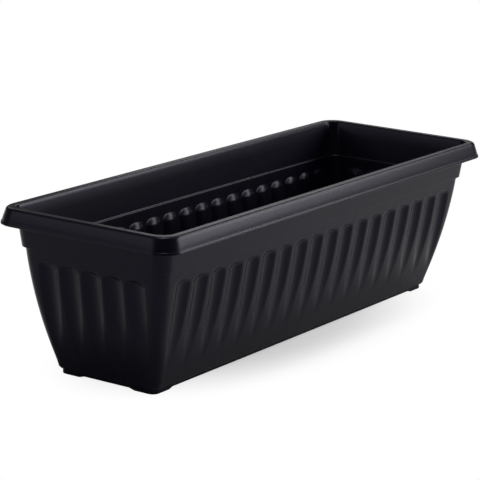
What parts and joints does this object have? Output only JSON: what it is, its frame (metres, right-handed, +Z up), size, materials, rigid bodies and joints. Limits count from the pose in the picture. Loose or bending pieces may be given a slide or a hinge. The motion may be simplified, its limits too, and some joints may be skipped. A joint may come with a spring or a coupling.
{
  "type": "trough planter",
  "caption": "Long tapered planter trough with a hanging rim, plain band, fluted bulging walls, stepped plinth, low corner feet and lift-out plugs in its floor drains.",
  "frame": {"origin": "on the ground under the middle of the trough: the centre of the bottom of its bounding box", "axes": "+X along the length, +Y across the width, +Z up; the pictured long side faces -Y and the pictured end faces -X"},
  "size_m": [0.6, 0.21, 0.1675],
  "materials": {
    "moulding": "black moulded plastic with a fine satin texture",
    "plug": "black softer plastic, matt"
  },
  "bodies": {
    "trough": {"trough": "moulding"},
    "plug_1": {"drain_plug_1": "plug"},
    "plug_2": {"drain_plug_2": "plug"},
    "plug_3": {"drain_plug_3": "plug"},
    "plug_4": {"drain_plug_4": "plug"}
  },
  "joints": [
    {"name": "plug_1_lift", "type": "slide", "parent": "trough", "child": "plug_1", "axis": [0, 0, 1], "range_m": [0, 0.03]},
    {"name": "plug_2_lift", "type": "slide", "parent": "trough", "child": "plug_2", "axis": [0, 0, 1], "range_m": [0, 0.03]},
    {"name": "plug_3_lift", "type": "slide", "parent": "trough", "child": "plug_3", "axis": [0, 0, 1], "range_m": [0, 0.03]},
    {"name": "plug_4_lift", "type": "slide", "parent": "trough", "child": "plug_4", "axis": [0, 0, 1], "range_m": [0, 0.03]}
  ]
}
